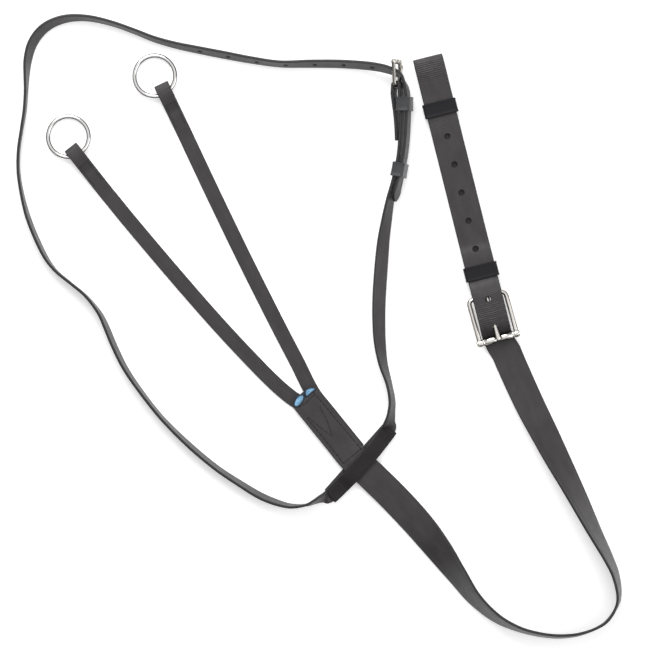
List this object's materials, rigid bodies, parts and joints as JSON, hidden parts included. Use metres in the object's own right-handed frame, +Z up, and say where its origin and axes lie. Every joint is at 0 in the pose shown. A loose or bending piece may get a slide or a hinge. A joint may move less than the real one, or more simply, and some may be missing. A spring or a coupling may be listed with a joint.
{
  "type": "martingale",
  "caption": "Running martingale of coated webbing: forked chest strap with rein rings, buckled neck strap and an adjustable girth loop with a roller buckle.",
  "frame": {"origin": "on the resting surface, under the middle of the fork joint where the fork straps are sewn to the body strap", "axes": "+Z up from the surface it lies on, +Y along its longest side, from the body strap's bend towards the rings and the neck buckle"},
  "size_m": [0.5261, 0.5431, 0.0264],
  "materials": {
    "coated_webbing": "black coated webbing with a satin surface and fine ribs",
    "patch_webbing": "deep black coated webbing, satin",
    "keeper_black": "black moulded keeper, satin",
    "keeper_grey": "dark grey keeper, satin",
    "bright_steel": "polished stainless steel",
    "black_thread": "bonded polyester sewing thread",
    "blue_inlay": "light blue edge piece"
  },
  "bodies": {
    "body": {"body_strap": "coated_webbing", "fork_root_left": "coated_webbing", "fork_root_right": "coated_webbing", "fork_inlay_left": "blue_inlay", "fork_inlay_right": "blue_inlay", "fork_border_stitching": "black_thread", "fork_vee_stitching": "black_thread"},
    "fork_left": {"fork_strap_left": "coated_webbing", "ring_stitching_left": "black_thread"},
    "fork_right": {"fork_strap_right": "coated_webbing", "ring_stitching_right": "black_thread"},
    "ring_left": {"rein_ring_left": "bright_steel"},
    "ring_right": {"rein_ring_right": "bright_steel"},
    "neck_crossing": {"neck_strap_crossing": "coated_webbing", "neck_loop_patch": "patch_webbing", "patch_stitching_lower": "black_thread", "patch_stitching_upper": "black_thread"},
    "neck_loop": {"neck_strap": "coated_webbing", "neck_strap_buckle_end": "coated_webbing", "neck_chape_stitching": "black_thread", "neck_keeper_fixed": "keeper_grey", "neck_buckle_frame": "bright_steel", "neck_buckle_roller_pin": "bright_steel"},
    "neck_tongue": {"neck_buckle_tongue": "bright_steel"},
    "neck_roller": {"neck_buckle_roller": "bright_steel"},
    "neck_runner": {"neck_keeper_runner": "keeper_grey"},
    "girth_leg": {"girth_strap": "coated_webbing", "girth_chape_stitching": "black_thread", "girth_keeper_fixed": "keeper_black", "girth_buckle_frame": "bright_steel", "girth_buckle_roller_pin": "bright_steel"},
    "girth_tongue": {"girth_buckle_tongue": "bright_steel"},
    "girth_roller": {"girth_buckle_roller": "bright_steel"},
    "girth_runner": {"girth_keeper_runner": "keeper_black"}
  },
  "joints": [
    {"name": "fork_left_flex", "type": "hinge", "parent": "body", "child": "fork_left", "pos_m": [-0.0344, 0.0289, 0.0012], "axis": [0.6471, 0.7624, 0], "range_deg": [0, 45]},
    {"name": "fork_right_flex", "type": "hinge", "parent": "body", "child": "fork_right", "pos_m": [-0.0196, 0.0406, 0.0012], "axis": [0.899, 0.438, 0], "range_deg": [0, 45]},
    {"name": "ring_left_swing", "type": "hinge", "parent": "fork_left", "child": "ring_left", "pos_m": [-0.2202, 0.239, 0.00445], "axis": [0.9101, 0.4143, 0], "range_deg": [0, 115]},
    {"name": "ring_right_swing", "type": "hinge", "parent": "fork_right", "child": "ring_right", "pos_m": [-0.1432, 0.2928, 0.00445], "axis": [0.8546, 0.5192, 0], "range_deg": [0, 115]},
    {"name": "neck_travel", "type": "slide", "parent": "body", "child": "neck_crossing", "axis": [0.6281, -0.7781, 0], "range_m": [0, 0.007]},
    {"name": "neck_loop_lift", "type": "hinge", "parent": "neck_crossing", "child": "neck_loop", "pos_m": [0.0253, -0.0278, 0.0012], "axis": [0.6633, 0.7483, 0], "range_deg": [0, 75]},
    {"name": "neck_tongue_lift", "type": "hinge", "parent": "neck_loop", "child": "neck_tongue", "pos_m": [0.0586, 0.2993, 0.01095], "axis": [0.3085, 0.0123, -0.9511], "range_deg": [0, 3]},
    {"name": "neck_roller_spin", "type": "hinge", "parent": "neck_loop", "child": "neck_roller", "pos_m": [0.05778, 0.31988, 0.01095], "axis": [-0.3085, -0.0123, 0.9511], "continuous": true},
    {"name": "neck_keeper_travel", "type": "slide", "parent": "neck_loop", "child": "neck_runner", "axis": [0.1908, 0.9816, 0], "range_m": [-0.004, 0.004]},
    {"name": "girth_leg_flex", "type": "hinge", "parent": "body", "child": "girth_leg", "pos_m": [0.2454, -0.1592, 0.013], "axis": [0, 0, 1], "range_deg": [-60, 0]},
    {"name": "girth_tongue_lift", "type": "hinge", "parent": "girth_leg", "child": "girth_tongue", "pos_m": [0.13612, 0.11648, 0.0064], "axis": [-0.9635, -0.2678, 0], "range_deg": [0, 2]},
    {"name": "girth_roller_spin", "type": "hinge", "parent": "girth_leg", "child": "girth_roller", "pos_m": [0.14637, 0.07958, 0.0064], "axis": [0.9635, 0.2678, 0], "continuous": true},
    {"name": "girth_keeper_travel", "type": "slide", "parent": "girth_leg", "child": "girth_runner", "axis": [-0.2425, 0.9701, 0], "range_m": [-0.105, 0.004]}
  ]
}
